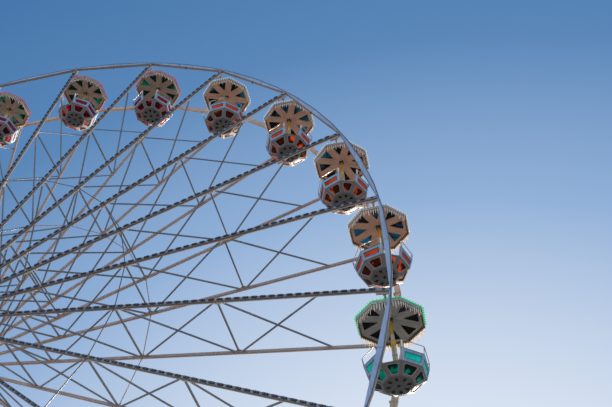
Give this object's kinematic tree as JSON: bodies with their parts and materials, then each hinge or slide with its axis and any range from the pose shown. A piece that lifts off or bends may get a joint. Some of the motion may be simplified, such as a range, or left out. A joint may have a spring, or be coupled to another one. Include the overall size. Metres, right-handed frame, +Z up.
{
  "type": "ferris wheel",
  "caption": "Ferris wheel on two leg towers, with paired spoke frames between two rims and open umbrella gondolas that hang level while the wheel turns.",
  "frame": {"origin": "on the ground under the hub, at the middle of the base", "axes": "+Z up, X in the plane of the wheel, Y along the axle, boarding side at -Y"},
  "size_m": [33.32, 12.1206, 35.075],
  "materials": {
    "rim_blue": "semi-gloss light blue-grey paint",
    "rim_tan": "semi-gloss warm grey-tan paint",
    "frame_tan": "semi-gloss warm grey-tan paint",
    "hub_steel": "satin grey paint",
    "tub_green": "teal panes in blue-grey frames",
    "tub_orange": "orange-red panes in blue-grey frames",
    "tub_crimson": "crimson panes in blue-grey frames",
    "roof_shell": "satin moulded shell, tan underside",
    "roof_pane": "translucent wedge panes",
    "fringe": "pale toothed vinyl fringe",
    "lamp_white": "clear lamp caps",
    "lamp_green": "green lamp caps",
    "lamp_red": "red lamp caps",
    "lamp_case": "dark blue-black lamp housings",
    "frame_blue": "blue-grey painted frames",
    "frame_grey": "dark grey painted frames",
    "floor_grey": "dark grey moulded floor",
    "column_yellow": "yellow paint",
    "pipe_pale": "pale grey paint",
    "rail_dark": "dark paint",
    "base_white": "semi-gloss off-white paint",
    "tower_white": "semi-gloss off-white paint",
    "deck_grey": "ribbed aluminium deck"
  },
  "bodies": {
    "base": {"base_frame": "base_white", "near_tower": "tower_white", "far_tower": "tower_white", "near_platform": "deck_grey", "far_platform": "deck_grey", "near_stair": "deck_grey", "far_stair": "deck_grey"},
    "wheel": {"hub": "hub_steel", "near_rim": "rim_blue", "far_rim": "rim_tan", "spoke_frame_01": "frame_tan", "spoke_frame_02": "frame_tan", "spoke_frame_03": "frame_tan", "spoke_frame_04": "frame_tan", "spoke_frame_05": "frame_tan", "spoke_frame_06": "frame_tan", "spoke_frame_07": "frame_tan", "spoke_frame_08": "frame_tan", "spoke_frame_09": "frame_tan", "spoke_frame_10": "frame_tan", "spoke_frame_11": "frame_tan", "spoke_frame_12": "frame_tan", "spoke_frame_13": "frame_tan", "spoke_frame_14": "frame_tan", "spoke_frame_15": "frame_tan", "spoke_frame_16": "frame_tan", "spoke_frame_17": "frame_tan", "spoke_frame_18": "frame_tan", "spoke_frame_19": "frame_tan", "spoke_frame_20": "frame_tan", "spoke_frame_21": "frame_tan", "spoke_frame_22": "frame_tan", "spoke_frame_23": "frame_tan", "spoke_frame_24": "frame_tan"},
    "cabin_01": {"gondola_01": "tub_green"},
    "cabin_02": {"gondola_02": "tub_orange"},
    "cabin_03": {"gondola_03": "tub_orange"},
    "cabin_04": {"gondola_04": "tub_orange"},
    "cabin_05": {"gondola_05": "tub_orange"},
    "cabin_06": {"gondola_06": "tub_crimson"},
    "cabin_07": {"gondola_07": "tub_crimson"},
    "cabin_08": {"gondola_08": "tub_crimson"},
    "cabin_09": {"gondola_09": "tub_crimson"},
    "cabin_10": {"gondola_10": "tub_green"},
    "cabin_11": {"gondola_11": "tub_green"},
    "cabin_12": {"gondola_12": "tub_green"},
    "cabin_13": {"gondola_13": "tub_green"},
    "cabin_14": {"gondola_14": "tub_orange"},
    "cabin_15": {"gondola_15": "tub_orange"},
    "cabin_16": {"gondola_16": "tub_orange"},
    "cabin_17": {"gondola_17": "tub_orange"},
    "cabin_18": {"gondola_18": "tub_crimson"},
    "cabin_19": {"gondola_19": "tub_crimson"},
    "cabin_20": {"gondola_20": "tub_crimson"},
    "cabin_21": {"gondola_21": "tub_crimson"},
    "cabin_22": {"gondola_22": "tub_green"},
    "cabin_23": {"gondola_23": "tub_green"},
    "cabin_24": {"gondola_24": "tub_green"}
  },
  "joints": [
    {"name": "wheel_turn", "type": "hinge", "parent": "base", "child": "wheel", "pos_m": [0, 0, 19], "axis": [0, 1, 0], "continuous": true},
    {"name": "cabin_hang_01", "type": "hinge", "parent": "wheel", "child": "cabin_01", "pos_m": [15.69457, 0, 16.93377], "axis": [0, 1, 0], "continuous": true},
    {"name": "cabin_hang_02", "type": "hinge", "parent": "wheel", "child": "cabin_02", "pos_m": [15.69457, 0, 21.06623], "axis": [0, 1, 0], "continuous": true},
    {"name": "cabin_hang_03", "type": "hinge", "parent": "wheel", "child": "cabin_03", "pos_m": [14.62501, 0, 25.05788], "axis": [0, 1, 0], "continuous": true},
    {"name": "cabin_hang_04", "type": "hinge", "parent": "wheel", "child": "cabin_04", "pos_m": [12.55878, 0, 28.63669], "axis": [0, 1, 0], "continuous": true},
    {"name": "cabin_hang_05", "type": "hinge", "parent": "wheel", "child": "cabin_05", "pos_m": [9.63669, 0, 31.55878], "axis": [0, 1, 0], "continuous": true},
    {"name": "cabin_hang_06", "type": "hinge", "parent": "wheel", "child": "cabin_06", "pos_m": [6.05788, 0, 33.62501], "axis": [0, 1, 0], "continuous": true},
    {"name": "cabin_hang_07", "type": "hinge", "parent": "wheel", "child": "cabin_07", "pos_m": [2.06623, 0, 34.69457], "axis": [0, 1, 0], "continuous": true},
    {"name": "cabin_hang_08", "type": "hinge", "parent": "wheel", "child": "cabin_08", "pos_m": [-2.06623, 0, 34.69457], "axis": [0, 1, 0], "continuous": true},
    {"name": "cabin_hang_09", "type": "hinge", "parent": "wheel", "child": "cabin_09", "pos_m": [-6.05788, 0, 33.62501], "axis": [0, 1, 0], "continuous": true},
    {"name": "cabin_hang_10", "type": "hinge", "parent": "wheel", "child": "cabin_10", "pos_m": [-9.63669, 0, 31.55878], "axis": [0, 1, 0], "continuous": true},
    {"name": "cabin_hang_11", "type": "hinge", "parent": "wheel", "child": "cabin_11", "pos_m": [-12.55878, 0, 28.63669], "axis": [0, 1, 0], "continuous": true},
    {"name": "cabin_hang_12", "type": "hinge", "parent": "wheel", "child": "cabin_12", "pos_m": [-14.62501, 0, 25.05788], "axis": [0, 1, 0], "continuous": true},
    {"name": "cabin_hang_13", "type": "hinge", "parent": "wheel", "child": "cabin_13", "pos_m": [-15.69457, 0, 21.06623], "axis": [0, 1, 0], "continuous": true},
    {"name": "cabin_hang_14", "type": "hinge", "parent": "wheel", "child": "cabin_14", "pos_m": [-15.69457, 0, 16.93377], "axis": [0, 1, 0], "continuous": true},
    {"name": "cabin_hang_15", "type": "hinge", "parent": "wheel", "child": "cabin_15", "pos_m": [-14.62501, 0, 12.94212], "axis": [0, 1, 0], "continuous": true},
    {"name": "cabin_hang_16", "type": "hinge", "parent": "wheel", "child": "cabin_16", "pos_m": [-12.55878, 0, 9.36331], "axis": [0, 1, 0], "continuous": true},
    {"name": "cabin_hang_17", "type": "hinge", "parent": "wheel", "child": "cabin_17", "pos_m": [-9.63669, 0, 6.44122], "axis": [0, 1, 0], "continuous": true},
    {"name": "cabin_hang_18", "type": "hinge", "parent": "wheel", "child": "cabin_18", "pos_m": [-6.05788, 0, 4.37499], "axis": [0, 1, 0], "continuous": true},
    {"name": "cabin_hang_19", "type": "hinge", "parent": "wheel", "child": "cabin_19", "pos_m": [-2.06623, 0, 3.30543], "axis": [0, 1, 0], "continuous": true},
    {"name": "cabin_hang_20", "type": "hinge", "parent": "wheel", "child": "cabin_20", "pos_m": [2.06623, 0, 3.30543], "axis": [0, 1, 0], "continuous": true},
    {"name": "cabin_hang_21", "type": "hinge", "parent": "wheel", "child": "cabin_21", "pos_m": [6.05788, 0, 4.37499], "axis": [0, 1, 0], "continuous": true},
    {"name": "cabin_hang_22", "type": "hinge", "parent": "wheel", "child": "cabin_22", "pos_m": [9.63669, 0, 6.44122], "axis": [0, 1, 0], "continuous": true},
    {"name": "cabin_hang_23", "type": "hinge", "parent": "wheel", "child": "cabin_23", "pos_m": [12.55878, 0, 9.36331], "axis": [0, 1, 0], "continuous": true},
    {"name": "cabin_hang_24", "type": "hinge", "parent": "wheel", "child": "cabin_24", "pos_m": [14.62501, 0, 12.94212], "axis": [0, 1, 0], "continuous": true}
  ],
  "couplings": [
    {"joint": "cabin_hang_01", "follows": "wheel_turn", "ratio": -1},
    {"joint": "cabin_hang_02", "follows": "wheel_turn", "ratio": -1},
    {"joint": "cabin_hang_03", "follows": "wheel_turn", "ratio": -1},
    {"joint": "cabin_hang_04", "follows": "wheel_turn", "ratio": -1},
    {"joint": "cabin_hang_05", "follows": "wheel_turn", "ratio": -1},
    {"joint": "cabin_hang_06", "follows": "wheel_turn", "ratio": -1},
    {"joint": "cabin_hang_07", "follows": "wheel_turn", "ratio": -1},
    {"joint": "cabin_hang_08", "follows": "wheel_turn", "ratio": -1},
    {"joint": "cabin_hang_09", "follows": "wheel_turn", "ratio": -1},
    {"joint": "cabin_hang_10", "follows": "wheel_turn", "ratio": -1},
    {"joint": "cabin_hang_11", "follows": "wheel_turn", "ratio": -1},
    {"joint": "cabin_hang_12", "follows": "wheel_turn", "ratio": -1},
    {"joint": "cabin_hang_13", "follows": "wheel_turn", "ratio": -1},
    {"joint": "cabin_hang_14", "follows": "wheel_turn", "ratio": -1},
    {"joint": "cabin_hang_15", "follows": "wheel_turn", "ratio": -1},
    {"joint": "cabin_hang_16", "follows": "wheel_turn", "ratio": -1},
    {"joint": "cabin_hang_17", "follows": "wheel_turn", "ratio": -1},
    {"joint": "cabin_hang_18", "follows": "wheel_turn", "ratio": -1},
    {"joint": "cabin_hang_19", "follows": "wheel_turn", "ratio": -1},
    {"joint": "cabin_hang_20", "follows": "wheel_turn", "ratio": -1},
    {"joint": "cabin_hang_21", "follows": "wheel_turn", "ratio": -1},
    {"joint": "cabin_hang_22", "follows": "wheel_turn", "ratio": -1},
    {"joint": "cabin_hang_23", "follows": "wheel_turn", "ratio": -1},
    {"joint": "cabin_hang_24", "follows": "wheel_turn", "ratio": -1}
  ]
}
